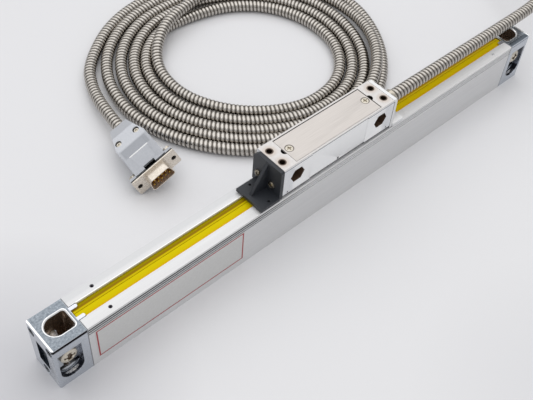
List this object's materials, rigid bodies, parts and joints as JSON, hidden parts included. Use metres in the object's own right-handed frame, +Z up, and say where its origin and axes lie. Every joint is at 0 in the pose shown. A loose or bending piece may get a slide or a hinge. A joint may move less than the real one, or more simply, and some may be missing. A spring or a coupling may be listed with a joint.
{
  "type": "linear glass scale",
  "caption": "Sealed linear glass scale: a slotted aluminium profile with a sliding reading head, armoured cable in a flat coil and a nine-pin connector.",
  "frame": {"origin": "bottom centre of the scale's bar", "axes": "+X along the bar towards the cable's side of the head, +Y to the back, +Z up"},
  "size_m": [0.4541, 0.2189, 0.056],
  "materials": {
    "anodised_aluminium": "satin anodised extrusion, faint draw lines",
    "chromed_zinc": "chrome-plated die casting, slightly uneven",
    "yellow_polyurethane": "smooth soft lip, slight sheen",
    "clear_glass": "ground and polished, fine chrome lines",
    "cured_adhesive": "cured silicone",
    "gasket_rubber": "matt black",
    "zinc_plated_steel": "bright zinc-plated",
    "blackened_steel": "black oxide",
    "label_foil": "satin foil with a thin red border, no print",
    "nickel_die_cast": "nickel-plated die casting, soft sheen",
    "brushed_stainless": "brushed along its length",
    "black_nylon": "fine moulded grain",
    "bracket_alloy": "satin",
    "nickel_plated_brass": "nickel-plated, turned",
    "cable_jacket": "smooth jacket",
    "spring_steel": "ground strip",
    "polyimide": "thin amber film",
    "circuit_laminate": "green solder mask",
    "chip_plastic": "moulded black",
    "black_alloy": "black anodised",
    "bearing_steel": "ground and polished",
    "tinned_steel": "tin-plated",
    "connector_plastic": "glass-filled, dark brown",
    "gold_plate": "gold-plated",
    "hood_zinc": "satin silver coating on zinc",
    "hose_steel": "interlocked stainless strip"
  },
  "bodies": {
    "scale": {"scale_housing": "anodised_aluminium", "seal_lip_front": "yellow_polyurethane", "seal_lip_rear": "yellow_polyurethane", "end_block_near": "chromed_zinc", "end_block_far": "chromed_zinc", "end_gasket_near": "gasket_rubber", "end_gasket_far": "gasket_rubber", "end_block_screws": "zinc_plated_steel", "mounting_screws": "zinc_plated_steel", "rail_set_screws": "blackened_steel", "travel_stop_near": "gasket_rubber", "travel_stop_far": "gasket_rubber", "glass_scale": "clear_glass", "glass_bonding_strip": "cured_adhesive", "side_label": "label_foil"},
    "head": {"head_housing": "nickel_die_cast", "head_cover_plate": "brushed_stainless", "cover_screws": "zinc_plated_steel", "near_end_bracket": "black_nylon", "near_bracket_screws": "zinc_plated_steel", "far_bracket_gasket": "gasket_rubber", "far_end_bracket": "bracket_alloy", "far_bracket_screws": "zinc_plated_steel", "cable_gland": "nickel_plated_brass", "inner_cable": "cable_jacket", "coupling_blade": "spring_steel", "blade_screws": "zinc_plated_steel", "coupling_wire": "spring_steel", "signal_ribbon": "polyimide", "head_circuit_board": "circuit_laminate", "head_board_chips": "chip_plastic", "reading_carriage": "black_alloy", "bearing_pins": "bearing_steel", "reading_board": "circuit_laminate", "index_grating": "clear_glass", "light_board": "circuit_laminate", "plug_shell": "tinned_steel", "plug_insulator": "connector_plastic", "plug_pins": "gold_plate", "hood_upper": "hood_zinc", "hood_lower": "hood_zinc", "hood_screws": "zinc_plated_steel", "plug_cable": "cable_jacket", "hose_lead": "hose_steel", "hose_coil": "hose_steel", "hose_tail": "hose_steel"},
    "edge_bearing_far": {"edge_bearing_far": "bearing_steel"},
    "edge_bearing_near": {"edge_bearing_near": "bearing_steel"},
    "face_bearing_far": {"face_bearing_far": "bearing_steel"},
    "face_bearing_near": {"face_bearing_near": "bearing_steel"},
    "jack_screw_left": {"jack_screw_left": "nickel_plated_brass"},
    "jack_screw_right": {"jack_screw_right": "nickel_plated_brass"}
  },
  "joints": [
    {"name": "head_slide", "type": "slide", "parent": "scale", "child": "head", "axis": [1, 0, 0], "range_m": [-0.113, 0.107]},
    {"name": "face_bearing_near_spin", "type": "hinge", "parent": "head", "child": "face_bearing_near", "pos_m": [-0.026, 0.00092, 0.0136], "axis": [0, 0, 1], "range_deg": [-2170, 2055]},
    {"name": "face_bearing_far_spin", "type": "hinge", "parent": "head", "child": "face_bearing_far", "pos_m": [0.032, 0.00092, 0.0136], "axis": [0, 0, 1], "range_deg": [-2170, 2055]},
    {"name": "edge_bearing_near_spin", "type": "hinge", "parent": "head", "child": "edge_bearing_near", "pos_m": [-0.018, 0.005, 0.02108], "axis": [0, 1, 0], "range_deg": [-2170, 2055]},
    {"name": "edge_bearing_far_spin", "type": "hinge", "parent": "head", "child": "edge_bearing_far", "pos_m": [0.024, 0.005, 0.02108], "axis": [0, 1, 0], "range_deg": [-2170, 2055]},
    {"name": "jack_screw_left_spin", "type": "hinge", "parent": "head", "child": "jack_screw_left", "pos_m": [-0.07752, 0.07105, 0.00688], "axis": [-0.132, -0.9889, 0.068], "continuous": true},
    {"name": "jack_screw_right_spin", "type": "hinge", "parent": "head", "child": "jack_screw_right", "pos_m": [-0.05497, 0.06877, 0.01743], "axis": [-0.132, -0.9889, 0.068], "continuous": true}
  ],
  "couplings": [
    {"joint": "face_bearing_near_spin", "follows": "head_slide", "rad_per_m": 333.33},
    {"joint": "face_bearing_far_spin", "follows": "head_slide", "rad_per_m": 333.33},
    {"joint": "edge_bearing_near_spin", "follows": "head_slide", "rad_per_m": 333.33},
    {"joint": "edge_bearing_far_spin", "follows": "head_slide", "rad_per_m": 333.33}
  ]
}
